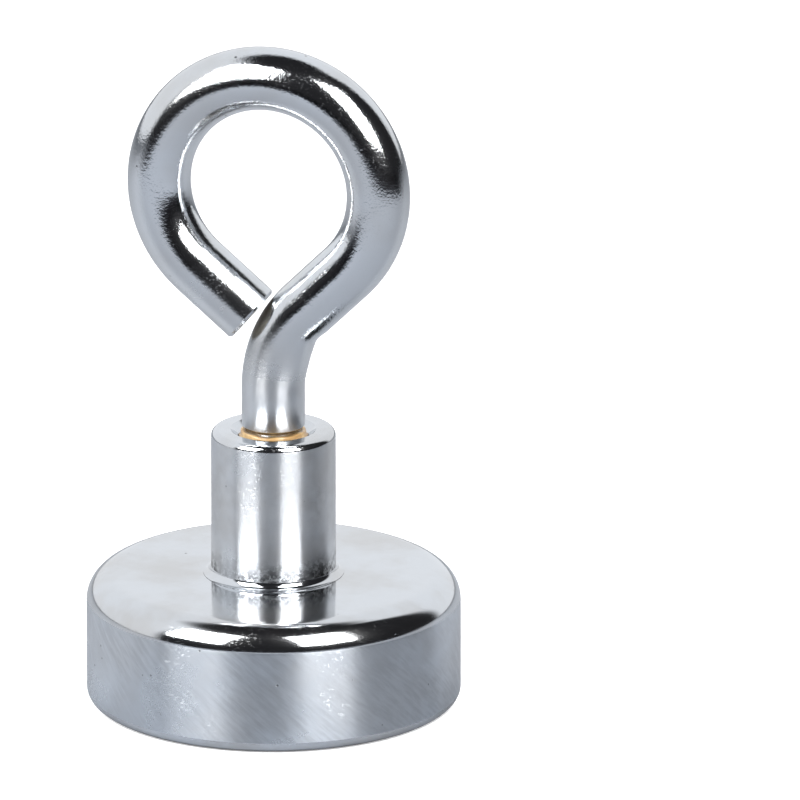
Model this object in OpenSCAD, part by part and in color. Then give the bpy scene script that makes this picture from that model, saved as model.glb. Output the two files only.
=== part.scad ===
// Magnet fishing magnet: a deep steel pot holding a disc magnet, with a threaded boss on its
// back and a bent-rod eyebolt screwed into the boss. Lengths in millimetres.
// Frame: the origin is the centre of the pulling face, +Z runs up through the boss to the eye,
// and the eye lies in the XZ plane.

/* [Pot] */
// outside diameter of the steel pot
pot_d = 48; // [36:0.5:75]
// height of the pot from its pulling face to its flat back
pot_h = 16.8; // [13.5:0.1:22]
// wall thickness of the pot at its rim
rim_w = 4.3; // [3:0.1:7]
// radius of the large rounded edge around the pot's back
back_round = 3.7; // [1:0.1:6]
// radius of the small rounded edge around the pot's pulling face
face_round = 1.6; // [0.4:0.1:2]
// radius on the rim's inner edge
rim_inner_round = 0.9; // [0.2:0.1:1.2]

/* [Magnet] */
// thickness of the disc magnet
magnet_t = 9.5; // [6:0.1:12]
// radius on the disc magnet's outer edges
magnet_round = 0.6; // [0.2:0.1:1]
// width of the resin-filled gap between the disc magnet and the pot wall
gap_w = 2.0; // [1:0.1:4]
// how far the disc magnet sits back from the rim, so that the rim takes the blows
face_recess = 0.1; // [0.05:0.05:0.5]
// thickness of the glue layer behind the disc magnet
glue_t = 0.15; // [0.05:0.05:0.4]
// how far the resin surface sits below the rim at its edges
resin_recess = 0.7; // [0.3:0.1:1.5]
// extra depth of the resin's hollow surface at mid gap
resin_sag = 0.3; // [0.1:0.05:0.5]

/* [Boss] */
// outside diameter of the threaded boss
boss_d = 16; // [13:0.5:24]
// height of the boss above the pot's back
boss_h = 19.15; // [15.9:0.05:26]
// radius on the boss's top edge
boss_round = 0.95; // [0.3:0.05:1.5]
// radius of the cove where the boss meets the pot
boss_fillet = 1.0; // [0.4:0.1:2]
// diameter of the countersink at the boss's mouth
mouth_d = 11; // [9.5:0.1:12]
// diameter of the boss's spigot inside the pot's floor
spigot_d = 12; // [11:0.5:13]

/* [Eyebolt] */
// nominal thread diameter of the eyebolt
thread_d = 8; // [6:0.2:10]
// how much thicker than the thread the plated rod above it is
rod_extra = 0.1; // [0:0.05:0.3]
// pitch of the thread, the rise for each turn
thread_pitch = 1.25; // [1:0.25:1.5]
// length of the threaded end below the boss's countersink
thread_l = 17; // [10:0.5:20]
// height of the straight rod above the boss before the bend
shank_l = 5.8; // [3:0.1:15]
// centreline radius of the bend that leads out to the eye
bend_r = 15.1; // [8:0.1:20]
// angle of that bend from the vertical
bend_deg = 45; // [35:1:50]
// straight length between the bend and the eye
strut_l = 7.5; // [5:0.1:12]
// centreline radius of the eye
eye_r = 14.55; // [13:0.05:20]
// angle that the eye turns through
eye_deg = 275; // [255:1:280]
// gap between the eye's cut free end and the rod below the eye
eye_gap = 0.45; // [0.2:0.05:4]
// chamfer around the cut end of the rod
rod_end_chamfer = 0.3; // [0.1:0.05:0.6]

/* [Fits] */
// radial running clearance between the thread stand-in and the boss's bore
thread_clear = 0.05; // [0.02:0.01:0.1]
// radial clearance of the spigot in the pot's centre hole, filled by the braze
spigot_clear = 0.02; // [0.01:0.01:0.05]
// radial running clearance between the threadlocker ring and the eyebolt's neck
ring_clear = 0.03; // [0.01:0.01:0.1]

/* [Display] */
// which sub-part to show

/* [Hidden] */
$fn = 96;
cut = 0.5; // how far cutting tools run past a surface

pot_r = pot_d / 2;
recess_r = pot_r - rim_w;
magnet_r = recess_r - gap_w;
magnet_top_z = face_recess + magnet_t;
floor_z = magnet_top_z + glue_t; // underside of the pot's floor
floor_t = pot_h - floor_z;

boss_r = boss_d / 2;
boss_top_z = pot_h + boss_h;
spigot_r = spigot_d / 2;

thread_r = thread_d / 2 - thread_clear; // plain cylinder that stands in for the thread's crests
bore_r = thread_d / 2;
mouth_r = mouth_d / 2;
mouth_depth = mouth_r - bore_r; // 45 degree countersink
mouth_z = boss_top_z - mouth_depth; // where the full bore begins
thread_root = 0.28 * thread_pitch; // depth of the run-out groove above the thread
neck_r = thread_r - thread_root;
thread_tip = 0.8; // chamfer on the thread's lower end
thread_low_z = mouth_z - thread_l;
bore_over = 1.2 * thread_pitch; // free depth of bore below the thread's end
bore_low_z = thread_low_z - bore_over;
drill_point = 118; // included angle of the drill's point
drill_cone = bore_r / tan(drill_point / 2);

rod_r = (thread_d + rod_extra) / 2;
bend_step = 0.01; // the bends are drawn this much thicker, so no two rod surfaces coincide
bend_lap = 0.05; // how far the rod's two straight ends run into the bends
straight_r = rod_r - bend_step; // shank and free end
run_out = straight_r - neck_r; // 45 degree shoulder from the rod down to the neck
rod_stand = 0.65; // the plain rod stops this far above the boss
rod_low_z = boss_top_z + rod_stand;

ring_gap = 0.05; // axial gap between the threadlocker ring and the first thread
ring_low_z = mouth_z + ring_gap;
ring_in = 0.1; // how far the ring's foot stays inside the bore's edge
ring_foot_r = bore_r - ring_in;
ring_spread = 0.55; // height of the part that fills the countersink
ring_collar_r = neck_r + 0.6; // the ring climbs the neck as a collar
ring_top_z = rod_low_z - run_out - 0.15; // and ends just under the rod's shoulder

bend_z = boss_top_z + shank_l;
bend_c = [bend_r, bend_z];
bend_end = [bend_r * (1 - cos(bend_deg)), bend_z + bend_r * sin(bend_deg)];
strut_dir = [sin(bend_deg), cos(bend_deg)];
strut_side = [-cos(bend_deg), sin(bend_deg)]; // towards the eye's centre
strut_end = bend_end + strut_l * strut_dir;
eye_c = strut_end + eye_r * strut_side;
eye_end_deg = eye_deg - bend_deg;
eye_end = eye_c + eye_r * [cos(eye_end_deg), sin(eye_end_deg)];

// The free end runs on straight until its inner corner stands eye_gap off the rod, which is
// either the strut's straight side or, lower down, the outside of the bend.
tail_dir = [-sin(eye_end_deg), cos(eye_end_deg)];
tail_inner = eye_end - rod_r * [cos(eye_end_deg), sin(eye_end_deg)];
tail_to_strut = ((tail_inner - bend_end) * strut_side - rod_r - eye_gap) / -(tail_dir * strut_side);
meets_strut = (tail_inner + tail_to_strut * tail_dir - bend_end) * strut_dir > 0;
bend_b = (tail_inner - bend_c) * tail_dir;
bend_q = pow(norm(tail_inner - bend_c), 2) - pow(bend_r + rod_r + eye_gap, 2);
tail_l = meets_strut ? tail_to_strut : -bend_b - sqrt(bend_b * bend_b - bend_q);

plated_steel = [0.74, 0.76, 0.79];
plated_magnet = [0.62, 0.65, 0.69];
glue_grey = [0.55, 0.55, 0.50];
resin_dark = [0.16, 0.15, 0.14];
locker_tan = [0.66, 0.50, 0.26];

// What a convex corner of radius r loses, with the corner itself at the origin.
module corner_waste(r) {
    translate([-r, -r])
        difference() {
            square(r + cut);
            circle(r);
        }
}

// What a concave corner of radius r gains, with the corner itself at the origin.
module cove(r) {
    difference() {
        translate([-cut, -cut]) square(r + cut);
        translate([r, r]) circle(r);
    }
}

// The deep-drawn and turned steel pot: wall, floor and the centre hole for the boss.
module pot_cup() {
    color(plated_steel)
        rotate_extrude()
            difference() {
                square([pot_r, pot_h]);
                translate([pot_r, pot_h]) corner_waste(back_round);
                translate([pot_r, 0]) mirror([0, 1]) corner_waste(face_round);
                // the recess for the magnet, open at the pulling face
                translate([0, -cut]) square([recess_r, floor_z + cut]);
                translate([recess_r, 0]) mirror([1, 0]) mirror([0, 1])
                    corner_waste(rim_inner_round);
                // the centre hole
                square([spigot_r + spigot_clear, pot_h + cut]);
            }
}

// The turned boss: tapped bore with a countersunk mouth, a coved foot and a spigot that is
// brazed into the pot's centre hole.
module threaded_boss() {
    color(plated_steel)
        difference() {
            rotate_extrude()
                union() {
                    translate([0, floor_z]) square([spigot_r, floor_t + cut]);
                    difference() {
                        translate([0, pot_h]) square([boss_r, boss_h]);
                        translate([boss_r, boss_top_z]) corner_waste(boss_round);
                    }
                    intersection() {
                        translate([boss_r, pot_h]) cove(boss_fillet);
                        translate([0, pot_h]) square([boss_r + boss_fillet, boss_fillet]);
                    }
                }
            // tapped bore and drill point
            translate([0, 0, bore_low_z]) cylinder(h = boss_top_z - bore_low_z + cut, r = bore_r);
            translate([0, 0, bore_low_z - drill_cone])
                cylinder(h = drill_cone, r1 = 0, r2 = bore_r);
            // countersunk mouth
            translate([0, 0, mouth_z])
                cylinder(h = mouth_depth + cut, r1 = bore_r, r2 = mouth_r + cut);
        }
}

// The plated disc magnet.
module magnet_disc() {
    color(plated_magnet)
        rotate_extrude()
            translate([0, face_recess])
                difference() {
                    square([magnet_r, magnet_t]);
                    translate([magnet_r, magnet_t]) corner_waste(magnet_round);
                    translate([magnet_r, 0]) mirror([0, 1]) corner_waste(magnet_round);
                }
}

// The thin glue layer that holds the disc magnet to the pot's floor.
module magnet_glue() {
    color(glue_grey)
        translate([0, 0, magnet_top_z])
            cylinder(h = glue_t, r = magnet_r - magnet_round);
}

// The resin cast into the gap round the magnet, with a hollow surface.
module potting_resin() {
    sag_r = (pow(gap_w / 2, 2) + pow(resin_sag, 2)) / (2 * resin_sag);
    color(resin_dark)
        rotate_extrude()
            difference() {
                translate([magnet_r, resin_recess]) square([gap_w, floor_z - resin_recess]);
                translate([recess_r - gap_w / 2, resin_recess + resin_sag - sag_r]) circle(sag_r);
            }
}

// The ring of set threadlocker round the eyebolt's neck, in the boss's countersink.
module threadlocker_ring() {
    spread_r = ring_foot_r + ring_spread;
    spread_z = ring_low_z + ring_spread;
    color(locker_tan)
        rotate_extrude()
            polygon([
                [neck_r + ring_clear, ring_low_z],
                [ring_foot_r, ring_low_z],
                [spread_r, spread_z],
                [ring_collar_r, spread_z + spread_r - ring_collar_r],
                [ring_collar_r, ring_top_z],
                [neck_r + ring_clear, ring_top_z]
            ]);
}

// A piece of rod bent in the XZ plane round the point [r, 0]: it starts at the origin along +Z
// and leans to +X over the sweep.
module bend_right(r, sweep) {
    mirror([1, 0, 0]) bend_left(r, sweep);
}

// The same, leaning to -X.
module bend_left(r, sweep) {
    translate([-r, 0, 0])
        rotate([90, 0, 0])
            rotate_extrude(angle = sweep)
                translate([r, 0]) circle(rod_r);
}

// The free end of the eye: straight from the origin along +Z, cut square with a small chamfer.
module free_end() {
    translate([0, 0, -bend_lap]) cylinder(h = tail_l - rod_end_chamfer + bend_lap, r = straight_r);
    translate([0, 0, tail_l - rod_end_chamfer])
        cylinder(h = rod_end_chamfer, r1 = straight_r, r2 = straight_r - rod_end_chamfer);
}

// Everything above the straight shank, in its own frame: the strut starts at the origin and
// runs along +Z, with the bend behind it and the eye in front of it.
module bent_length() {
    mirror([0, 0, 1]) bend_right(bend_r, bend_deg);
    cylinder(h = strut_l, r = rod_r);
    translate([0, 0, strut_l]) {
        bend_left(eye_r, eye_deg);
        translate([-eye_r, 0, 0])
            rotate([0, -eye_deg, 0])
                translate([eye_r, 0, 0]) free_end();
    }
}

// The eyebolt, one steel rod: threaded end, neck, shank, bend, strut, eye and free end.
module eyebolt() {
    color(plated_steel)
        union() {
            // threaded end with a chamfered tip
            translate([0, 0, thread_low_z])
                cylinder(h = thread_tip, r1 = thread_r - thread_tip, r2 = thread_r);
            translate([0, 0, thread_low_z + thread_tip])
                cylinder(h = thread_l - thread_tip, r = thread_r);
            // thread run-out and shoulder
            translate([0, 0, mouth_z]) cylinder(h = rod_low_z - run_out - mouth_z, r = neck_r);
            translate([0, 0, rod_low_z - run_out])
                cylinder(h = run_out, r1 = neck_r, r2 = straight_r);
            // shank
            translate([0, 0, rod_low_z])
                cylinder(h = bend_z - rod_low_z + bend_lap, r = straight_r);
            translate([bend_c[0], 0, bend_c[1]])
                rotate([0, bend_deg, 0])
                    translate([-bend_r, 0, 0]) bent_length();
        }
}

pot_cup();
threaded_boss();
magnet_disc();
magnet_glue();
potting_resin();
threadlocker_ring();
eyebolt();
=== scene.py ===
"""Studio scene of a magnet fishing magnet.

A thick steel pot holds a disc magnet, a turned boss stands on its back, and a bent-rod eyebolt
screws into the boss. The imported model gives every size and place. Each sub-assembly is a class
that makes its pieces on a lathe or along the rod's path and then dresses them, and the studio
class sets the floor, the lights and the camera. Lengths are in metres.
"""

from __future__ import annotations

import logging
import math
from dataclasses import dataclass, field, replace
from enum import Enum
from typing import Callable, Sequence

import bpy
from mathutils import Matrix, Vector

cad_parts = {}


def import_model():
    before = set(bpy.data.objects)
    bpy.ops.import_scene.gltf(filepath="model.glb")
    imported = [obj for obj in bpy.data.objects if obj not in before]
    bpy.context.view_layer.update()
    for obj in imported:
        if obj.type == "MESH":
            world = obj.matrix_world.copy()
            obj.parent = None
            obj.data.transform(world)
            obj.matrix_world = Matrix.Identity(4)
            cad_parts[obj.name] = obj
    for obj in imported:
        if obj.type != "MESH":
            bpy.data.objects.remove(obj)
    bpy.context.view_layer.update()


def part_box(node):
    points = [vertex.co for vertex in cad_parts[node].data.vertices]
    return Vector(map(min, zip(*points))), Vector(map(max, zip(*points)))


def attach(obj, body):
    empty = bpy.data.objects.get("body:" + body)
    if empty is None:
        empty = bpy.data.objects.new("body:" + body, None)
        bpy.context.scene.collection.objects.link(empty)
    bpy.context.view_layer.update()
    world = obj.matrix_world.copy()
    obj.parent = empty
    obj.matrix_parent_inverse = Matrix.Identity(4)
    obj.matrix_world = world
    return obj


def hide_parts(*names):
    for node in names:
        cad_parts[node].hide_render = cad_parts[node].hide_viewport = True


MM = 0.001
LOG = logging.getLogger("magnet")

Colour = tuple[float, float, float]


# ---------------------------------------------------------------------------------------------
# Mesh work
# ---------------------------------------------------------------------------------------------


class Shading(Enum):
    """How a finished piece is smoothed."""

    SMOOTH = 180.0
    CRISP = 32.0


@dataclass(frozen=True)
class Corner:
    """One corner of a turned outline.

    Args:
        radius: distance from the axis.
        height: height above the pulling face.
        rounding: radius of the corner's round, 0 for a sharp corner.
    """

    radius: float
    height: float
    rounding: float = 0.0


def start_piece(name: str) -> bpy.types.Object:
    """Adds a plane at the origin as the start of a new piece, with nothing else selected.

    Args:
        name: the piece's name.

    Returns:
        The new object, in edit mode with its four corners selected.
    """
    if bpy.context.mode != "OBJECT":
        bpy.ops.object.mode_set(mode="OBJECT")
    bpy.ops.object.select_all(action="DESELECT")
    bpy.ops.mesh.primitive_plane_add(size=MM, location=(0.0, 0.0, 0.0))
    piece = bpy.context.object
    piece.name = name
    piece.data.name = name
    bpy.ops.object.mode_set(mode="EDIT")
    bpy.ops.mesh.select_mode(type="VERT")
    return piece


def select_where(piece: bpy.types.Object, test: Callable[[Vector], bool]) -> None:
    """Selects the vertices whose place passes a test.

    Args:
        piece: the piece, which is left in edit mode.
        test: says whether a place is wanted.
    """
    bpy.ops.object.mode_set(mode="OBJECT")
    for part in (piece.data.vertices, piece.data.edges, piece.data.polygons):
        part.foreach_set("select", [False] * len(part))
    for vertex in piece.data.vertices:
        vertex.select = test(vertex.co)
    bpy.ops.object.mode_set(mode="EDIT")
    bpy.ops.mesh.select_mode(type="VERT")


def close_up(piece: bpy.types.Object, shading: Shading) -> None:
    """Merges doubles, turns all faces outwards and smooths a piece.

    Args:
        piece: the piece, in edit mode.
        shading: smooth all over, or crisp at its sharp edges.
    """
    bpy.ops.mesh.select_all(action="SELECT")
    bpy.ops.mesh.remove_doubles(threshold=0.002 * MM)
    bpy.ops.mesh.select_all(action="SELECT")
    bpy.ops.mesh.normals_make_consistent(inside=False)
    bpy.ops.object.mode_set(mode="OBJECT")
    if shading is Shading.SMOOTH:
        bpy.ops.object.shade_smooth()
    else:
        bpy.ops.object.shade_smooth_by_angle(angle=math.radians(shading.value))


def turn_on_lathe(
    name: str,
    corners: Sequence[Corner],
    shading: Shading = Shading.CRISP,
    steps: int = 256,
    arc_steps: int = 10,
) -> bpy.types.Object:
    """Draws an outline, rounds its corners and spins it round the Z axis.

    Args:
        name: the piece's name.
        corners: the outline, anticlockwise seen from -Y. It is closed unless both of its ends
            are on the axis.
        shading: how the piece is smoothed.
        steps: faces round the axis.
        arc_steps: faces across each rounded corner.

    Returns:
        The finished piece.
    """
    piece = start_piece(name)
    bpy.ops.mesh.merge(type="CENTER")
    first = corners[0]
    bpy.ops.transform.translate(value=(first.radius, 0.0, first.height))
    for before, after in zip(corners, corners[1:]):
        step = (after.radius - before.radius, 0.0, after.height - before.height)
        bpy.ops.mesh.extrude_region_move(TRANSFORM_OT_translate={"value": step})
    if first.radius > 0.0 or corners[-1].radius > 0.0:
        ends = [Vector((c.radius, 0.0, c.height)) for c in (first, corners[-1])]
        select_where(piece, lambda co: any((co - end).length < 1e-7 for end in ends))
        bpy.ops.mesh.edge_face_add()
    for corner in corners:
        if corner.rounding > 0.0:
            place = Vector((corner.radius, 0.0, corner.height))
            select_where(piece, lambda co: (co - place).length < 1e-7)
            bpy.ops.mesh.bevel(
                offset_type="OFFSET",
                offset=corner.rounding,
                segments=arc_steps,
                profile=0.5,
                affect="VERTICES",
            )
    bpy.ops.mesh.select_all(action="SELECT")
    bpy.ops.mesh.spin(
        steps=steps,
        angle=2.0 * math.pi,
        use_auto_merge=True,
        center=(0.0, 0.0, 0.0),
        axis=(0.0, 0.0, 1.0),
    )
    close_up(piece, shading)
    return piece


def paint_faces(
    piece: bpy.types.Object,
    materials: Sequence[bpy.types.Material],
    choose: Callable[[bpy.types.MeshPolygon], int],
) -> None:
    """Gives a piece its materials and picks one for each face.

    Args:
        piece: the piece.
        materials: the materials, in slot order.
        choose: returns a face's slot.
    """
    piece.data.materials.clear()
    for material in materials:
        piece.data.materials.append(material)
    for face in piece.data.polygons:
        face.material_index = choose(face)


def upright_wall(radius: float) -> Callable[[bpy.types.MeshPolygon], int]:
    """Makes a test for the upright outside wall of a turned piece.

    Args:
        radius: the wall's radius.

    Returns:
        A function that gives slot 1 to the wall and slot 0 to the rest.
    """
    least_radius, most_slope = radius - 0.05 * MM, 0.1

    def slot(face: bpy.types.MeshPolygon) -> int:
        """Picks a face's slot."""
        away = math.hypot(face.center.x, face.center.y)
        return int(away > least_radius and abs(face.normal.z) < most_slope)

    return slot


def install(piece: bpy.types.Object, node: str, body: str) -> None:
    """Puts a piece in place of a CAD node.

    Args:
        piece: the finished piece.
        node: the CAD node that it replaces.
        body: the body that it moves with.
    """
    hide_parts(node)
    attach(piece, body)
    LOG.info("%s: %d faces, on body %s", piece.name, len(piece.data.polygons), body)


@dataclass(frozen=True)
class ScrewThread:
    """A right-hand ISO thread as a radius that depends on place.

    Args:
        crest: radius over the crests.
        pitch: rise for each turn.
    """

    crest: float
    pitch: float = 1.25 * MM

    @property
    def depth(self) -> float:
        """Height of the thread from root to crest."""
        return 0.6134 * self.pitch

    def radius(self, place: Vector) -> float:
        """Finds the thread's surface at one place.

        Args:
            place: gives the angle and the height.

        Returns:
            The radius there.
        """
        turn = place.z / self.pitch - math.atan2(place.y, place.x) / (2.0 * math.pi)
        from_crest = abs((turn % 1.0) - 0.5) * 2.0
        share = (from_crest - 0.125) / (0.75 - 0.125)
        return self.crest - self.depth * min(max(share, 0.0), 1.0)


def set_radius(vertex: bpy.types.MeshVertex, radius: float) -> None:
    """Moves a vertex to a radius from the Z axis.

    Args:
        vertex: the vertex, which keeps its angle and height.
        radius: its new distance from the axis.
    """
    now = math.hypot(vertex.co.x, vertex.co.y)
    vertex.co.x *= radius / now
    vertex.co.y *= radius / now


# ---------------------------------------------------------------------------------------------
# Material work
# ---------------------------------------------------------------------------------------------


class Bench:
    """A node tree with short ways to add and join its nodes."""

    def __init__(self, tree: bpy.types.NodeTree) -> None:
        """Keeps the tree.

        Args:
            tree: where the nodes go.
        """
        self.tree = tree

    def add(self, kind: str, settings: dict | None = None, **inputs: object) -> bpy.types.Node:
        """Adds a node.

        Args:
            kind: the node's type name, without ShaderNode.
            settings: properties of the node itself.
            **inputs: its inputs by name, with _ for a space, or as i0, i1 and so on. A socket
                is joined and any other value is set.

        Returns:
            The new node.
        """
        node = self.tree.nodes.new("ShaderNode" + kind)
        for key, value in (settings or {}).items():
            setattr(node, key, value)
        for key, value in inputs.items():
            socket = self.socket(node, key)
            if isinstance(value, bpy.types.NodeSocket):
                self.tree.links.new(value, socket)
            else:
                socket.default_value = value
        return node

    @staticmethod
    def socket(node: bpy.types.Node, key: str) -> bpy.types.NodeSocket:
        """Finds a node's input.

        Args:
            node: the node.
            key: the input's name with _ for a space, or i and its number.

        Returns:
            The input.
        """
        if key[0] == "i" and key[1:].isdigit():
            return node.inputs[int(key[1:])]
        return node.inputs[key.replace("_", " ")]

    def math(
        self, operation: str, a: object, b: object = 0.0, clamp: bool = False
    ) -> bpy.types.NodeSocket:
        """Works something out from two numbers.

        Args:
            operation: the Math node's operation.
            a: first number or socket.
            b: second number or socket.
            clamp: keep the result between 0 and 1.

        Returns:
            The result.
        """
        node = self.add("Math", {"operation": operation, "use_clamp": clamp}, i0=a, i1=b)
        return node.outputs[0]

    def scaled(
        self, vector: object, scale: tuple[float, float, float]
    ) -> bpy.types.NodeSocket:
        """Stretches a vector.

        Args:
            vector: the vector.
            scale: a factor for each axis.

        Returns:
            The stretched vector.
        """
        return self.add("Mapping", Vector=vector, Scale=scale).outputs[0]

    def band(
        self, value: object, low: float, high: float, to: tuple[float, float] = (0.0, 1.0)
    ) -> bpy.types.NodeSocket:
        """Maps a range smoothly onto another.

        Args:
            value: what is mapped.
            low: start of the range.
            high: end of the range.
            to: what its start and end become.

        Returns:
            The mapped value.
        """
        node = self.add(
            "MapRange",
            {"interpolation_type": "SMOOTHSTEP"},
            Value=value,
            From_Min=low,
            From_Max=high,
            To_Min=to[0],
            To_Max=to[1],
        )
        return node.outputs[0]

    def noise(
        self, vector: object, scale: float, detail: float = 3.0, roughness: float = 0.5
    ) -> bpy.types.NodeSocket:
        """Adds a noise texture.

        Args:
            vector: where it is read.
            scale: how fine it is, for each metre.
            detail: how many finer layers it has.
            roughness: how strong those layers are.

        Returns:
            Its value.
        """
        node = self.add("TexNoise", Vector=vector, Scale=scale, Detail=detail, Roughness=roughness)
        return node.outputs["Fac"]

    def mix(self, factor: object, a: object, b: object) -> bpy.types.NodeSocket:
        """Mixes two colours.

        Args:
            factor: share of the second colour.
            a: first colour.
            b: second colour.

        Returns:
            The mixed colour.
        """
        node = self.add("Mix", {"data_type": "RGBA"})
        for key, value in ((0, factor), (6, a), (7, b)):
            socket = node.inputs[key]
            if isinstance(value, bpy.types.NodeSocket):
                self.tree.links.new(value, socket)
            else:
                socket.default_value = value
        return node.outputs[2]


def start_material(name: str) -> tuple[bpy.types.Material, Bench, bpy.types.Node]:
    """Starts a surface material.

    Args:
        name: the material's name.

    Returns:
        The material, its bench and its shader.
    """
    material = bpy.data.materials.new(name)
    material.use_nodes = True
    return material, Bench(material.node_tree), material.node_tree.nodes["Principled BSDF"]


def rgba(colour: Colour) -> tuple[float, float, float, float]:
    """Adds a full alpha to a colour."""
    return (*colour, 1.0)


class Effect(Enum):
    """The shared surface effects, each one node group."""

    HANDLING = "handling_marks"
    TUMBLING = "tumbling_ripple"
    PITS = "plating_pits"


class EffectShop:
    """Builds each shared effect once and hands it out."""

    def __init__(self) -> None:
        """Starts with no effect built."""
        self.built: dict[Effect, bpy.types.NodeTree] = {}
        self.makers = {
            Effect.HANDLING: self.handling,
            Effect.TUMBLING: self.tumbling,
            Effect.PITS: self.pits,
        }

    def use(self, bench: Bench, effect: Effect, **inputs: object) -> bpy.types.Node:
        """Places an effect in a material.

        Args:
            bench: the material's nodes.
            effect: the effect wanted.
            **inputs: its inputs by name.

        Returns:
            The group node.
        """
        if effect not in self.built:
            self.built[effect] = self.makers[effect]()
        return bench.add("Group", {"node_tree": self.built[effect]}, **inputs)

    @staticmethod
    def frame(
        effect: Effect, inputs: Sequence[tuple[str, str, float]], outputs: Sequence[str]
    ) -> tuple[Bench, bpy.types.Node, bpy.types.Node]:
        """Makes a group's tree with its sockets.

        Args:
            effect: the effect that names the group.
            inputs: name, kind and default of each input.
            outputs: name of each output value.

        Returns:
            The group's bench, its input node and its output node.
        """
        tree = bpy.data.node_groups.new(effect.value, "ShaderNodeTree")
        for name, kind, value in inputs:
            socket = tree.interface.new_socket(
                name=name, in_out="INPUT", socket_type="NodeSocket" + kind
            )
            if kind == "Float":
                socket.default_value = value
        for name in outputs:
            tree.interface.new_socket(name=name, in_out="OUTPUT", socket_type="NodeSocketFloat")
        return Bench(tree), tree.nodes.new("NodeGroupInput"), tree.nodes.new("NodeGroupOutput")

    def handling(self) -> bpy.types.NodeTree:
        """Fine scratches in two directions, and a soft uneven film.

        Returns:
            The effect's node group.
        """
        bench, given, result = self.frame(
            Effect.HANDLING, [("Vector", "Vector", 0.0), ("Amount", "Float", 1.0)],
            ["Scratch", "Film"],
        )
        place = given.outputs["Vector"]
        lines = []
        for angle, stretch, scale in ((0.5, 30.0, 150.0), (-0.9, 40.0, 110.0)):
            turned = bench.add("VectorRotate", {"rotation_type": "AXIS_ANGLE"}, Vector=place,
                               Axis=(0.35, 0.5, 1.0), Angle=angle).outputs[0]
            long = bench.scaled(turned, (1.0, stretch, stretch))
            lines.append(bench.band(bench.noise(long, scale, 0.0), 0.70, 0.76))
        line = bench.math("MAXIMUM", lines[0], lines[1])
        patch = bench.band(bench.noise(place, 210.0, 2.0), 0.42, 0.62)
        scratch = bench.math("MULTIPLY", bench.math("MULTIPLY", line, patch),
                             given.outputs["Amount"], clamp=True)
        film = bench.band(bench.noise(place, 75.0, 4.0, 0.6), 0.35, 0.68)
        bench.tree.links.new(scratch, result.inputs["Scratch"])
        bench.tree.links.new(film, result.inputs["Film"])
        return bench.tree

    def tumbling(self) -> bpy.types.NodeTree:
        """Slanting ripples round an upright wall, and fine grain.

        Returns:
            The effect's node group.
        """
        bench, given, result = self.frame(
            Effect.TUMBLING,
            [
                ("Vector", "Vector", 0.0),
                ("Slant", "Float", 60.0),
                ("Scale", "Float", 420.0),
                ("Stretch", "Float", 0.2),
            ],
            ["Ripple", "Grain"],
        )
        place = given.outputs["Vector"]
        height = bench.add("SeparateXYZ", Vector=place).outputs["Z"]
        angle = bench.math("MULTIPLY", height, given.outputs["Slant"])
        turned = bench.add("VectorRotate", {"rotation_type": "Z_AXIS"}, Vector=place,
                           Angle=angle).outputs[0]
        factors = bench.add("CombineXYZ", X=1.0, Y=1.0, Z=given.outputs["Stretch"]).outputs[0]
        slanting = bench.add("VectorMath", {"operation": "MULTIPLY"}, i0=turned,
                             i1=factors).outputs[0]
        ripple = bench.add("TexNoise", Vector=slanting, Scale=given.outputs["Scale"],
                           Detail=3.0, Roughness=0.55).outputs["Fac"]
        patch = bench.band(bench.noise(place, 120.0, 2.0), 0.34, 0.58)
        ripple = bench.math("MULTIPLY", bench.math("SUBTRACT", ripple, 0.5), patch)
        ripple = bench.math("ADD", ripple, 0.5)
        grain = bench.noise(place, 2900.0, 2.0, 0.6)
        bench.tree.links.new(ripple, result.inputs["Ripple"])
        bench.tree.links.new(grain, result.inputs["Grain"])
        return bench.tree

    def pits(self) -> bpy.types.NodeTree:
        """Scattered pinholes and short nicks in the plating.

        Returns:
            The effect's node group.
        """
        bench, given, result = self.frame(
            Effect.PITS,
            [("Vector", "Vector", 0.0), ("Scale", "Float", 600.0), ("Share", "Float", 0.5)],
            ["Pit"],
        )
        place = given.outputs["Vector"]
        cells = bench.add("TexVoronoi", Vector=place, Scale=given.outputs["Scale"], Randomness=1.0)
        near = bench.band(cells.outputs["Distance"], 0.05, 0.16, (1.0, 0.0))
        pick = bench.add("SeparateXYZ", Vector=cells.outputs["Color"]).outputs["X"]
        chosen = bench.math("LESS_THAN", pick, given.outputs["Share"])
        bench.tree.links.new(bench.math("MULTIPLY", near, chosen), result.inputs["Pit"])
        return bench.tree


PIT_SCALE = 700.0
PIT_DEPTH = 0.02 * MM
SCRATCH_DEPTH = 0.0008 * MM
SCORCH_DEPTH = 0.012 * MM
SCORCH_RISE = 1.8 * MM
SCORCH_FALL = 2.0 * MM
DIRT: Colour = (0.045, 0.045, 0.05)


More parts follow.
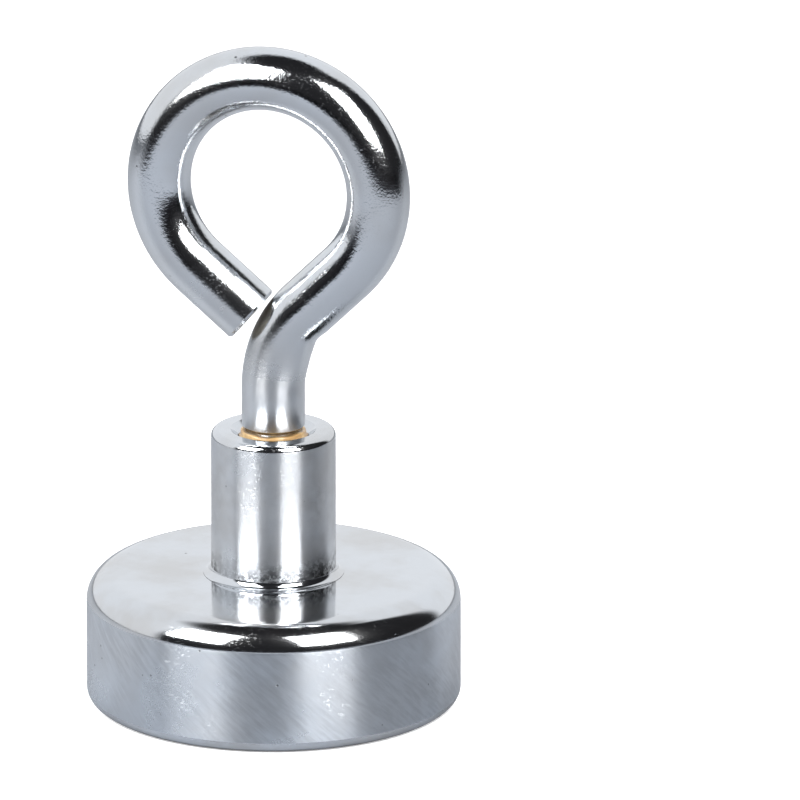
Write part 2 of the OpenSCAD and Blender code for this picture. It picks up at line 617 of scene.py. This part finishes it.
@dataclass(frozen=True)
class PlatedFinish:
    """Bright nickel plate on steel.

    Args:
        name: the material's name.
        colour: reflected colour of clean plate.
        stain: reflected colour where the film is thickest.
        roughness: roughness of clean plate.
        film_roughness: what the film adds to it.
        anisotropy: how far turning or drawing marks stretch the highlights.
        slant: twist of the ripples, in radians for each metre of height.
        stretch: how short the ripples stay along the axis, 1 for round ones.
        ripple_scale: fineness of the ripples.
        ripple: depth of the ripples.
        grain: depth of the fine grain.
        streak: how far the ripples darken the plate.
        patina: how far the film stains it.
        pit_share: share of the cells that hold a pit.
        foot: height under which the surface is scorched and rough, if any.
    """

    name: str
    colour: Colour = (0.70, 0.725, 0.755)
    stain: Colour = (0.56, 0.545, 0.525)
    roughness: float = 0.12
    film_roughness: float = 0.05
    anisotropy: float = 0.0
    slant: float = 0.0
    stretch: float = 1.0
    ripple_scale: float = 420.0
    ripple: float = 0.004 * MM
    grain: float = 0.001 * MM
    streak: float = 0.12
    patina: float = 0.6
    pit_share: float = 0.04
    foot: float = 0.0

    def build(self, shop: EffectShop) -> bpy.types.Material:
        """Makes the material.

        Args:
            shop: where the shared effects come from.

        Returns:
            The material.
        """
        material, bench, shader = start_material(self.name)
        place = bench.add("TexCoord").outputs["Object"]
        marks = shop.use(bench, Effect.HANDLING, Vector=place, Amount=1.0)
        tumbled = shop.use(bench, Effect.TUMBLING, Vector=place, Slant=self.slant,
                           Scale=self.ripple_scale, Stretch=self.stretch)
        pits = shop.use(bench, Effect.PITS, Vector=place, Scale=PIT_SCALE,
                        Share=self.pit_share)
        film, scratch, pit = marks.outputs["Film"], marks.outputs["Scratch"], pits.outputs["Pit"]

        colour = bench.mix(bench.math("MULTIPLY", film, self.patina), rgba(self.colour),
                           rgba(self.stain))
        streak = bench.band(tumbled.outputs["Ripple"], 0.30, 0.70, (2.0 * self.streak, 0.0))
        dark = bench.math("MAXIMUM", bench.math("MULTIPLY", pit, 0.75), streak)
        rough = bench.math("MULTIPLY_ADD", film, self.film_roughness)
        rough.node.inputs[2].default_value = self.roughness
        rough = bench.math("ADD", rough, bench.math("MULTIPLY", scratch, 0.12))
        height = bench.math("MULTIPLY", tumbled.outputs["Ripple"], self.ripple)
        height = bench.math("ADD", height,
                            bench.math("MULTIPLY", tumbled.outputs["Grain"], self.grain))
        height = bench.math("SUBTRACT", height, bench.math("MULTIPLY", scratch, SCRATCH_DEPTH))
        height = bench.math("SUBTRACT", height, bench.math("MULTIPLY", pit, PIT_DEPTH))
        if self.foot > 0.0:
            scorch = self.scorch(bench, place)
            dark = bench.math("MAXIMUM", dark, bench.math("MULTIPLY", scorch, 0.92))
            rough = bench.math("ADD", rough, bench.math("MULTIPLY", scorch, 0.10))
            height = bench.math("SUBTRACT", height, bench.math("MULTIPLY", scorch, SCORCH_DEPTH))
        colour = bench.mix(dark, colour, rgba(DIRT))
        bump = bench.add("Bump", Strength=1.0, Distance=1.0, Height=height)
        links = bench.tree.links
        links.new(colour, shader.inputs["Base Color"])
        links.new(rough, shader.inputs["Roughness"])
        links.new(bump.outputs[0], shader.inputs["Normal"])
        shader.inputs["Metallic"].default_value = 1.0
        shader.inputs["Anisotropic"].default_value = self.anisotropy
        if self.anisotropy > 0.0:
            tangent = bench.add("Tangent", {"direction_type": "RADIAL", "axis": "Z"})
            links.new(tangent.outputs[0], shader.inputs["Tangent"])
            shader.inputs["Anisotropic Rotation"].default_value = 0.25
        return material

    def scorch(self, bench: Bench, place: bpy.types.NodeSocket) -> bpy.types.NodeSocket:
        """Makes a speckled rough patch near the foot of a wall.

        Args:
            bench: the material's nodes.
            place: the place on the object.

        Returns:
            The patch as a mask.
        """
        height = bench.add("SeparateXYZ", Vector=place).outputs["Z"]
        low = bench.band(height, self.foot - SCORCH_FALL, self.foot + SCORCH_RISE, (1.0, 0.0))
        speckle = bench.band(bench.noise(place, 1300.0, 4.0, 0.7), 0.34, 0.55)
        patch = bench.band(bench.noise(place, 240.0, 2.0), 0.36, 0.52, (0.45, 1.0))
        return bench.math("MULTIPLY", bench.math("MULTIPLY", speckle, patch), low)


@dataclass(frozen=True)
class CastFinish:
    """Set resin, glue or threadlocker.

    Args:
        name: the material's name.
        colour: main colour.
        second: colour of its cloudy patches.
        roughness: surface roughness.
        lump: depth of its uneven surface.
        clear: weight of a clear glossy skin.
    """

    name: str
    colour: Colour
    second: Colour
    roughness: float = 0.25
    lump: float = 0.01 * MM
    clear: float = 0.0

    def build(self, shop: EffectShop) -> bpy.types.Material:
        """Makes the material.

        Args:
            shop: where the shared effects come from.

        Returns:
            The material.
        """
        material, bench, shader = start_material(self.name)
        place = bench.add("TexCoord").outputs["Object"]
        marks = shop.use(bench, Effect.HANDLING, Vector=place, Amount=0.4)
        cloud = bench.noise(place, 900.0, 3.0)
        colour = bench.mix(bench.band(cloud, 0.35, 0.7), rgba(self.colour), rgba(self.second))
        height = bench.math("MULTIPLY", bench.noise(place, 1100.0, 2.0), self.lump)
        rough = bench.math("MULTIPLY_ADD", marks.outputs["Film"], 0.1)
        rough.node.inputs[2].default_value = self.roughness
        bump = bench.add("Bump", Strength=1.0, Distance=1.0, Height=height)
        bench.tree.links.new(colour, shader.inputs["Base Color"])
        bench.tree.links.new(rough, shader.inputs["Roughness"])
        bench.tree.links.new(bump.outputs[0], shader.inputs["Normal"])
        shader.inputs["Coat Weight"].default_value = self.clear
        return material


BRIGHT_PLATE = PlatedFinish("bright_plate", roughness=0.08, film_roughness=0.05,
                            ripple=0.006 * MM, ripple_scale=260.0, grain=0.002 * MM,
                            streak=0.0, patina=0.6, pit_share=0.06)
TUMBLED_WALL = PlatedFinish("tumbled_wall", colour=(0.68, 0.72, 0.77),
                            stain=(0.535, 0.545, 0.56), roughness=0.27, film_roughness=0.04,
                            anisotropy=0.95, slant=45.0, stretch=0.35, ripple=0.010 * MM,
                            ripple_scale=1300.0, grain=0.0, streak=0.08, pit_share=0.12)
TURNED_WALL = PlatedFinish("turned_wall", roughness=0.27, film_roughness=0.04, anisotropy=0.95,
                           ripple=0.010 * MM, ripple_scale=500.0, foot=19.8 * MM,
                           grain=0.0, streak=0.06, pit_share=0.12)
BENT_ROD = PlatedFinish("bent_rod", roughness=0.08, film_roughness=0.05, ripple=0.010 * MM,
                        ripple_scale=500.0, grain=0.022 * MM, streak=0.0, patina=0.4,
                        pit_share=0.08)
DRAWN_SHANK = PlatedFinish("drawn_shank", roughness=0.27, film_roughness=0.04, anisotropy=0.95,
                           ripple=0.008 * MM, ripple_scale=500.0, grain=0.0, streak=0.0,
                          patina=0.4, pit_share=0.08)
CUT_THREAD = PlatedFinish("cut_thread", colour=(0.58, 0.59, 0.60), roughness=0.18)
# The sheared end is rough; its dark colour is painted shade that stands in for the dark reflection
# on that face.
CUT_END_PAINTED_SHADE = PlatedFinish("cut_end_painted_shade", colour=(0.34, 0.335, 0.32), stain=(0.30, 0.24, 0.15),
                       roughness=0.38, ripple=0.03 * MM, ripple_scale=900.0, grain=0.01 * MM)
DISC_PLATE = PlatedFinish("disc_plate", colour=(0.60, 0.64, 0.68), stain=(0.52, 0.53, 0.55),
                          roughness=0.34, film_roughness=0.02, ripple=0.001 * MM,
                          grain=0.003 * MM, patina=0.2, pit_share=0.10)
POTTING = CastFinish("potting_black", (0.03, 0.028, 0.025), (0.055, 0.05, 0.04), 0.12,
                     0.03 * MM, 1.0)
LOCKER = CastFinish("locker_tan", (0.34, 0.20, 0.075), (0.50, 0.35, 0.17), 0.25, 0.06 * MM, 0.3)
GLUE = CastFinish("glue_grey", (0.45, 0.45, 0.40), (0.52, 0.52, 0.47), 0.3)


# ---------------------------------------------------------------------------------------------
# Sub-assemblies
# ---------------------------------------------------------------------------------------------


@dataclass
class MagnetBase:
    """The pot with its magnet, resin and glue.

    Args:
        shop: shared effects.
        body: the body that the pieces move with.
        back_round: round at the edge of the pot's back.
        face_round: round at the edge of its pulling face.
        rim_round: round inside the rim.
        disc_round: round at the disc's edges.
        spigot_radius: radius of the boss's spigot in the pot's hole.
        spigot_play: gap round that spigot.
        sag: depth of the resin's hollow surface.
        sag_steps: faces across that surface.
    """

    shop: EffectShop
    body: str = "magnet_base"
    back_round: float = 3.7 * MM
    face_round: float = 1.6 * MM
    rim_round: float = 0.9 * MM
    disc_round: float = 0.6 * MM
    spigot_radius: float = 6.0 * MM
    spigot_play: float = 0.02 * MM
    sag: float = 0.3 * MM
    sag_steps: int = 10

    def __post_init__(self) -> None:
        """Reads the sizes from the frame."""
        self.pot_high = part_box("pot_cup")[1]
        self.disc_low, self.disc_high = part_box("magnet_disc")
        self.resin_low, self.resin_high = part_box("potting_resin")
        self.floor = self.resin_high.z

    def build(self) -> None:
        """Makes and dresses all of the pieces."""
        self.pot()
        self.disc()
        self.resin()
        self.glue()

    def pot(self) -> None:
        """Turns the pot from its outline, with a satin wall and bright ends."""
        hole = self.spigot_radius + self.spigot_play
        wall = self.resin_high.x
        rim, back = self.pot_high.x, self.pot_high.z
        piece = turn_on_lathe(
            "pot",
            [
                Corner(hole, self.floor),
                Corner(wall, self.floor),
                Corner(wall, 0.0, self.rim_round),
                Corner(rim, 0.0, self.face_round),
                Corner(rim, back, self.back_round),
                Corner(hole, back),
            ],
            arc_steps=14,
        )
        bright, satin = BRIGHT_PLATE.build(self.shop), TUMBLED_WALL.build(self.shop)
        paint_faces(piece, (bright, satin), upright_wall(rim))
        install(piece, "pot_cup", self.body)

    def disc(self) -> None:
        """Turns the disc magnet."""
        low, high, edge = self.disc_low.z, self.disc_high.z, self.disc_high.x
        piece = turn_on_lathe(
            "magnet",
            [
                Corner(0.0, low),
                Corner(edge, low, self.disc_round),
                Corner(edge, high, self.disc_round),
                Corner(0.0, high),
            ],
            arc_steps=8,
        )
        paint_faces(piece, (DISC_PLATE.build(self.shop),), lambda face: 0)
        install(piece, "magnet_disc", self.body)

    def resin(self) -> None:
        """Turns the resin ring with its hollow surface."""
        inner, outer = self.disc_high.x, self.resin_high.x
        low, high = self.resin_low.z, self.resin_high.z
        corners = [Corner(inner, high), Corner(inner, low)]
        for step in range(1, self.sag_steps):
            share = step / self.sag_steps
            rise = self.sag * 4.0 * share * (1.0 - share)
            corners.append(Corner(inner + (outer - inner) * share, low + rise))
        corners += [Corner(outer, low), Corner(outer, high)]
        piece = turn_on_lathe("resin", corners)
        paint_faces(piece, (POTTING.build(self.shop),), lambda face: 0)
        install(piece, "potting_resin", self.body)

    def glue(self) -> None:
        """Dresses the hidden glue layer, which keeps its CAD shape."""
        node = bpy.data.objects["magnet_glue"]
        node.data.materials.clear()
        node.data.materials.append(GLUE.build(self.shop))
        LOG.info("glue layer: CAD shape kept")


@dataclass
class Boss:
    """The turned boss with its tapped bore.

    Args:
        shop: shared effects.
        body: the body that it moves with.
        wall: radius of the boss.
        bore: radius of the tapped bore over the thread's roots.
        mouth: radius of the countersink.
        top_round: round at the top edge.
        foot_round: cove at the foot.
        foot_lip: height of the step where the cove meets the pot.
        spigot: radius of the spigot.
        bore_depth: depth of the full bore below the countersink.
        drill_angle: angle of the drill's point, in degrees.
        thread_play: gap between the two threads.
        bore_rings: rings of faces along the bore.
    """

    shop: EffectShop
    body: str = "magnet_base"
    wall: float = 8.0 * MM
    bore: float = 4.0 * MM
    mouth: float = 5.5 * MM
    top_round: float = 0.95 * MM
    foot_round: float = 1.0 * MM
    foot_lip: float = 0.05 * MM
    spigot: float = 6.0 * MM
    bore_depth: float = 18.5 * MM
    drill_angle: float = 118.0
    thread_play: float = 0.05 * MM
    bore_rings: int = 190

    def build(self) -> None:
        """Turns the boss, cuts its thread and dresses it."""
        low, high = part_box("threaded_boss")
        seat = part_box("pot_cup")[1].z
        top = high.z
        mouth_low = top - (self.mouth - self.bore)
        bore_low = mouth_low - self.bore_depth
        tip = bore_low - self.bore / math.tan(math.radians(self.drill_angle / 2.0))
        lip = seat + self.foot_lip
        bore, rings = self.bore, self.bore_rings
        wall = [Corner(bore, mouth_low - self.bore_depth * k / rings) for k in range(rings + 1)]
        piece = turn_on_lathe(
            "boss",
            [
                Corner(0.0, low.z),
                Corner(self.spigot, low.z),
                Corner(self.spigot, seat),
                Corner(self.wall + self.foot_round + self.foot_lip, seat),
                Corner(self.wall + self.foot_round + self.foot_lip, lip),
                Corner(self.wall, lip, self.foot_round),
                Corner(self.wall, top, self.top_round),
                Corner(self.mouth, top),
                *wall,
                Corner(0.0, tip),
            ],
            steps=128,
        )
        thread = ScrewThread(bore - self.thread_play)
        for vertex in piece.data.vertices:
            away = math.hypot(vertex.co.x, vertex.co.y)
            if abs(away - bore) < 1e-6 and bore_low + 1e-6 < vertex.co.z < mouth_low - 1e-6:
                set_radius(vertex, thread.radius(vertex.co) + self.thread_play)
        bright, turned = BRIGHT_PLATE.build(self.shop), TURNED_WALL.build(self.shop)
        paint_faces(piece, (bright, turned), upright_wall(self.wall))
        install(piece, "threaded_boss", self.body)


@dataclass
class Eyebolt:
    """The bent rod with its thread, and the threadlocker round its neck.

    Args:
        shop: shared effects.
        body: the body that the rod moves with.
        ring_body: the body that the threadlocker moves with.
        rod: radius of the rod.
        thread_radius: radius over the thread's crests.
        neck: radius of the run-out above the thread.
        tip: chamfer at the thread's end.
        thread_length: length of the thread below the boss's countersink.
        rod_stand: how far above the boss the full rod starts.
        shank: height of the first bend's start above the boss.
        bend_radius: centreline radius of the first bend.
        bend_deg: angle of that bend.
        strut: straight length up to the eye.
        eye_radius: centreline radius of the eye.
        eye_deg: angle that the eye turns through.
        tail: straight length of the free end.
        end_chamfer: chamfer at the cut end.
        fade_steps: steps in which the shank's finish fades out along the bend.
        sides: faces round the rod.
        thread_rings: rings of faces along the thread and neck.
        run_out: length over which the thread fades into the neck.
        dent: depth of the flat that the die presses inside the first bend.
        bulge: how far the metal is pushed out beside it.
        ring_play: gap between the threadlocker and the neck.
        ring_foot: radius of the threadlocker where it meets the bore.
        collar: thickness of the threadlocker round the neck.
        ripple: unevenness of the threadlocker's top.
    """

    shop: EffectShop
    body: str = "eyebolt_body"
    ring_body: str = "thread_carrier"
    rod: float = 4.05 * MM
    thread_radius: float = 3.95 * MM
    neck: float = 3.6 * MM
    tip: float = 0.8 * MM
    thread_length: float = 17.0 * MM
    rod_stand: float = 0.65 * MM
    shank: float = 5.8 * MM
    bend_radius: float = 15.1 * MM
    bend_deg: float = 45.0
    strut: float = 7.5 * MM
    eye_radius: float = 14.55 * MM
    eye_deg: float = 275.0
    tail: float = 9.29 * MM
    end_chamfer: float = 0.3 * MM
    fade_steps: int = 12
    sides: int = 72
    thread_rings: int = 200
    run_out: float = 1.0 * MM
    dent: float = 0.30 * MM
    bulge: float = 0.15 * MM
    ring_play: float = 0.03 * MM
    ring_foot: float = 3.9 * MM
    collar: float = 0.6 * MM
    ripple: float = 0.06 * MM

    def __post_init__(self) -> None:
        """Reads the heights from the frame."""
        self.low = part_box("eyebolt")[0].z
        self.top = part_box("threaded_boss")[1].z
        self.rod_low = self.top + self.rod_stand
        self.bend_low = self.top + self.shank

    def build(self) -> None:
        """Makes and dresses the rod and the ring."""
        self.rod_piece()
        self.ring()

    def spin_end(self, centre: Vector, angle: float, steps: int) -> None:
        """Bends the selected end of the tube.

        Args:
            centre: centre of the bend.
            angle: degrees, positive from +Z towards +X.
            steps: rings along the bend.
        """
        bpy.ops.mesh.spin(
            steps=steps, angle=-math.radians(angle), center=centre, axis=(0.0, 1.0, 0.0)
        )

    def run_end(self, direction: Vector, length: float) -> None:
        """Lengthens the tube from its selected end.

        Args:
            direction: which way it runs.
            length: how far.
        """
        bpy.ops.mesh.extrude_region_move(TRANSFORM_OT_translate={"value": direction * length})

    def rod_piece(self) -> None:
        """Draws the tube along the rod's path, cuts the thread and closes the ends."""
        piece = start_piece("eyebolt_rod")
        bpy.ops.mesh.delete(type="VERT")
        bpy.ops.mesh.primitive_circle_add(
            vertices=self.sides, radius=self.rod, location=(0.0, 0.0, self.low)
        )
        for _ in range(self.thread_rings):
            self.run_end(Vector((0.0, 0.0, 1.0)), (self.rod_low - self.low) / self.thread_rings)
        self.run_end(Vector((0.0, 0.0, 1.0)), self.bend_low - self.rod_low)

        lean = math.radians(self.bend_deg)
        along = Vector((math.sin(lean), 0.0, math.cos(lean)))
        inward = Vector((-math.cos(lean), 0.0, math.sin(lean)))
        bend_centre = Vector((self.bend_radius, 0.0, self.bend_low))
        strut_start = bend_centre + inward * self.bend_radius
        eye_centre = strut_start + along * self.strut + inward * self.eye_radius
        self.spin_end(bend_centre, self.bend_deg, 30)
        self.run_end(along, self.strut)
        self.spin_end(eye_centre, -self.eye_deg, 150)
        turned = lean - math.radians(self.eye_deg)
        away = Vector((math.sin(turned), 0.0, math.cos(turned)))
        self.run_end(away, self.tail - self.end_chamfer)
        self.run_end(away, self.end_chamfer)
        end = eye_centre + Vector((-math.cos(turned), 0.0, math.sin(turned))) * -self.eye_radius
        end += away * self.tail
        shrink = 1.0 - self.end_chamfer / self.rod
        bpy.ops.transform.resize(value=(shrink, shrink, shrink), center_override=end)
        bpy.ops.mesh.edge_face_add()
        low = self.low
        select_where(piece, lambda co: co.z < low + 1e-7)
        bpy.ops.mesh.edge_face_add()
        close_up(piece, Shading.CRISP)
        self.cut_thread(piece)
        self.press_bend(piece, bend_centre)
        steps = self.fade_steps
        finishes = [BENT_ROD, CUT_END_PAINTED_SHADE, CUT_THREAD, DRAWN_SHANK]
        for step in range(1, steps):
            share = step / steps
            finishes.append(replace(
                DRAWN_SHANK,
                name=f"drawn_shank_{step}",
                anisotropy=DRAWN_SHANK.anisotropy * (1.0 - share**2),
                roughness=DRAWN_SHANK.roughness * (1.0 - share) + BENT_ROD.roughness * share,
                grain=DRAWN_SHANK.grain * (1.0 - share) + BENT_ROD.grain * share,
            ))

        def zone(face: bpy.types.MeshPolygon) -> int:
            """Picks the finish by how far along the rod a face is.

            Args:
                face: the face.

            Returns:
                The finish's slot.
            """
            if (face.center - end).length < 0.9 * self.rod and face.normal.dot(away) > 0.9:
                return 1
            if face.center.z < self.rod_low + 0.01 * MM:
                return 2
            across = face.center - bend_centre
            turned = math.degrees(math.atan2(across.z, -across.x))
            if turned > self.bend_deg * 0.9 or face.center.z > self.bend_low + self.rod * 4.0:
                return 0
            step = int(max(turned, 0.0) / (self.bend_deg * 0.9) * steps)
            return 3 + min(step, steps - 1)

        paint_faces(piece, [finish.build(self.shop) for finish in finishes], zone)
        install(piece, "eyebolt", self.body)

    def cut_thread(self, piece: bpy.types.Object) -> None:
        """Gives the rod's lower end its thread, run-out and shoulder.

        Args:
            piece: the rod.
        """
        thread = ScrewThread(self.thread_radius)
        mouth = self.low + self.thread_length
        for vertex in piece.data.vertices:
            z = vertex.co.z
            if z > self.rod_low - 1e-7:
                continue
            radius = min(thread.radius(vertex.co), self.thread_radius)
            fade = min(max((z - (mouth - 1.2 * self.run_out)) / self.run_out, 0.0), 1.0)
            radius += (self.neck - radius) * fade
            radius = min(radius, self.thread_radius - self.tip + (z - self.low))
            radius = max(radius, self.rod - (self.rod_low - z))
            set_radius(vertex, min(radius, self.rod))

    def press_bend(self, piece: bpy.types.Object, centre: Vector) -> None:
        """Flattens the inside of the first bend a little, as the bending die does.

        Args:
            piece: the rod.
            centre: centre of the bend.
        """
        for vertex in piece.data.vertices:
            across = vertex.co - centre
            turned = math.degrees(math.atan2(across.z, -across.x))
            reach = math.hypot(across.x, across.z)
            if not -20.0 < turned < 75.0 or reach > self.bend_radius:
                continue
            inside = (self.bend_radius - reach) / self.rod
            dent = self.dent * math.exp(-(((turned - 35.0) / 7.0) ** 2))
            bulge = self.bulge * math.exp(-(((turned - 14.0) / 9.0) ** 2))
            outward = Vector((across.x, 0.0, across.z)).normalized()
            vertex.co += outward * (dent - bulge) * inside**2

    def ring(self) -> None:
        """Turns the ring of threadlocker and makes its top uneven."""
        low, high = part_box("threadlocker_ring")
        inner, collar = self.neck + self.ring_play, self.neck + self.collar
        spread = high.x - self.ring_foot
        shoulder = low.z + spread + high.x - collar
        piece = turn_on_lathe(
            "threadlocker",
            [
                Corner(inner, low.z),
                Corner(self.ring_foot, low.z),
                Corner(high.x, low.z + spread, 0.12 * MM),
                Corner(collar, shoulder, 0.2 * MM),
                Corner(collar, high.z, 0.25 * MM),
                Corner(inner, high.z),
            ],
            shading=Shading.SMOOTH,
            steps=128,
            arc_steps=5,
        )
        for vertex in piece.data.vertices:
            if vertex.co.z > high.z - 0.3 * MM:
                angle = math.atan2(vertex.co.y, vertex.co.x)
                waves = 2.0 + math.sin(3.0 * angle) + math.sin(7.0 * angle)
                vertex.co.z -= self.ripple * waves
        paint_faces(piece, (LOCKER.build(self.shop),), lambda face: 0)
        install(piece, "threadlocker_ring", self.ring_body)


# ---------------------------------------------------------------------------------------------
# Studio
# ---------------------------------------------------------------------------------------------


@dataclass(frozen=True)
class SoftBox:
    """One soft light, placed round the camera's own direction.

    Args:
        name: the light's name.
        side: degrees to the right of the camera, seen from the object.
        lift: degrees above the floor.
        width: its width.
        height: its height.
        glow: how bright its face is.
        tip: degrees that its face looks down.
    """

    name: str
    side: float
    lift: float
    width: float
    height: float
    glow: float
    tip: float = 22.0


@dataclass
class Studio:
    """The pale floor, the surroundings, the soft boxes and the camera.

    Args:
        azimuth: the camera's place round the object, in degrees.
        elevation: the camera's height above the floor, in degrees.
        distance: from the camera to the object.
        view_width: width of the view at the object.
        aim_height: height of the point that the view is set from.
        shift_right: how far right of that point the view's middle is.
        shift_up: how far above that point the view's middle is.
        light_distance: from the lights to the object.
        floor_gap: how far the floor lies under the object.
        open_radius: radius of the floor's clear spot under the object.
        boxes: the soft boxes.
    """

    azimuth: float = 16.0
    elevation: float = 17.6
    distance: float = 2.6
    view_width: float = 102.3 * MM
    aim_height: float = 35.0 * MM
    shift_right: float = 16.19 * MM
    shift_up: float = 4.51 * MM
    light_distance: float = 0.7
    floor_gap: float = 0.05 * MM
    open_radius: float = 21.5 * MM
    boxes: tuple[SoftBox, ...] = field(
        default_factory=lambda: (
            SoftBox("soft_box_left", -51.0, 41.0, 0.41, 0.52, 10.5),
            SoftBox("soft_box_right", 35.0, 41.0, 0.37, 0.52, 13.0),
        )
    )

    def toward(self, side: float, lift: float) -> Vector:
        """Finds a direction from the object.

        Args:
            side: degrees to the right of the camera.
            lift: degrees above the floor.

        Returns:
            A unit vector.
        """
        turn, rise = math.radians(self.azimuth + side), math.radians(lift)
        return Vector(
            (math.sin(turn) * math.cos(rise), -math.cos(turn) * math.cos(rise), math.sin(rise))
        )

    def build(self) -> None:
        """Sets the whole studio."""
        self.camera()
        self.floor()
        self.surroundings()
        for box in self.boxes:
            self.light(box)
        bpy.context.scene.view_settings.view_transform = "Standard"

    def camera(self) -> None:
        """Adds the camera."""
        data = bpy.data.cameras.new("camera")
        camera = bpy.data.objects.new("camera", data)
        bpy.context.scene.collection.objects.link(camera)
        back = self.toward(0.0, self.elevation)
        right = self.toward(90.0, 0.0)
        up = right.cross(-back).normalized()
        aim = Vector((0.0, 0.0, self.aim_height)) + right * self.shift_right + up * self.shift_up
        camera.location = aim + back * self.distance
        camera.rotation_euler = (-back).to_track_quat("-Z", "Y").to_euler()
        data.lens = data.sensor_width * self.distance / self.view_width
        data.clip_start = 0.05
        data.clip_end = 20.0
        bpy.context.scene.camera = camera

    def floor(self) -> None:
        """Adds the pale floor, which can be seen through from below; in glossy rays it shows a
        painted reflection.
        """
        piece = start_piece("floor")
        bpy.ops.transform.resize(value=(12000.0, 12000.0, 1.0))
        bpy.ops.transform.translate(value=(0.0, 0.0, -self.floor_gap))
        bpy.ops.object.mode_set(mode="OBJECT")
        material, bench, shader = start_material("pale_floor")
        shader.inputs["Base Color"].default_value = rgba((0.9, 0.9, 0.9))
        shader.inputs["Roughness"].default_value = 0.9
        shader.inputs["Specular IOR Level"].default_value = 0.0
        shader.inputs["Emission Color"].default_value = rgba((1.0, 1.0, 1.0))
        shader.inputs["Emission Strength"].default_value = 0.3
        place = bench.add("TexCoord").outputs["Object"]
        outward = bench.add("VectorMath", {"operation": "NORMALIZE"}, i0=place).outputs[0]
        facing = bench.add("VectorMath", {"operation": "DOT_PRODUCT"}, i0=outward,
                           i1=tuple(self.toward(10.0, 0.0))).outputs["Value"]
        reach = bench.add("VectorMath", {"operation": "LENGTH"}, i0=place).outputs["Value"]
        # Painted reflection: glossy rays see a dimmer diffuse copy of the floor, painted lighter
        # to the sides and back, darker in front and near black beyond 0.33 m in front.
        front = bench.mix(bench.band(reach, 0.30, 0.36), rgba((0.25, 0.265, 0.29)),
                          rgba((0.012, 0.012, 0.014)))
        shade = bench.mix(bench.band(facing, -0.3, 0.4), rgba((0.36, 0.375, 0.40)), front)
        painted_reflection_copy = bench.add("BsdfDiffuse", Color=shade)
        rays = bench.add("LightPath")
        mixed = bench.add("MixShader", i0=rays.outputs["Is Glossy Ray"],
                          i1=shader.outputs[0], i2=painted_reflection_copy.outputs[0])
        clear = bench.add("BsdfTransparent")
        hidden = bench.math("LESS_THAN", reach, self.open_radius)
        below = bench.add("NewGeometry").outputs["Backfacing"]
        seen = bench.add("MixShader", i0=bench.math("MAXIMUM", hidden, below),
                         i1=mixed.outputs[0], i2=clear.outputs[0])
        output = material.node_tree.nodes["Material Output"]
        bench.tree.links.new(seen.outputs[0], output.inputs["Surface"])
        piece.data.materials.append(material)

    def surroundings(self) -> None:
        """White behind the object, dark in front of it and above."""
        world = bpy.data.worlds.new("studio")
        bpy.context.scene.world = world
        world.use_nodes = True
        bench = Bench(world.node_tree)
        shade = world.node_tree.nodes["Background"]
        way = bench.add("TexCoord").outputs["Generated"]
        parts = bench.add("SeparateXYZ", Vector=way)
        dark_way = self.toward(22.0, 0.0)
        facing = bench.add("VectorMath", {"operation": "DOT_PRODUCT"}, i0=way,
                           i1=tuple(dark_way)).outputs["Value"]
        flat = bench.math("SQRT", bench.math("SUBTRACT", 1.0, bench.math(
            "POWER", parts.outputs["Z"], 2.0)))
        facing = bench.math("DIVIDE", facing, bench.math("MAXIMUM", flat, 0.01))
        front = bench.band(facing, -0.22, -0.04)
        above = bench.band(parts.outputs["Z"], 0.84, 0.93)
        dark = bench.math("MAXIMUM", front, above)
        colour = bench.mix(dark, rgba((0.95, 0.97, 1.0)), rgba((0.02, 0.02, 0.022)))
        bench.tree.links.new(colour, shade.inputs["Color"])
        shade.inputs["Strength"].default_value = 1.0

    def light(self, box: SoftBox) -> None:
        """Adds one soft box that faces the object.

        Args:
            box: the light's sizes and place.
        """
        reach = self.light_distance
        data = bpy.data.lights.new(box.name, "AREA")
        data.shape = "RECTANGLE"
        data.size = box.width
        data.size_y = box.height
        data.energy = box.glow * math.pi * data.size * data.size_y
        lamp = bpy.data.objects.new(box.name, data)
        bpy.context.scene.collection.objects.link(lamp)
        way = self.toward(box.side, box.lift)
        lamp.location = way * reach + Vector((0.0, 0.0, 30.0 * MM))
        lamp.rotation_euler = (-self.toward(box.side, box.tip)).to_track_quat("-Z", "Y").to_euler()


def main() -> None:
    """Loads the frame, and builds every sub-assembly and the studio."""
    logging.basicConfig(level=logging.INFO, format="%(name)s: %(message)s")
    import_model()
    shop = EffectShop()
    for assembly in (Studio(), MagnetBase(shop), Boss(shop), Eyebolt(shop)):
        assembly.build()
        LOG.info("%s built", type(assembly).__name__)


if __name__ == "__main__":
    main()
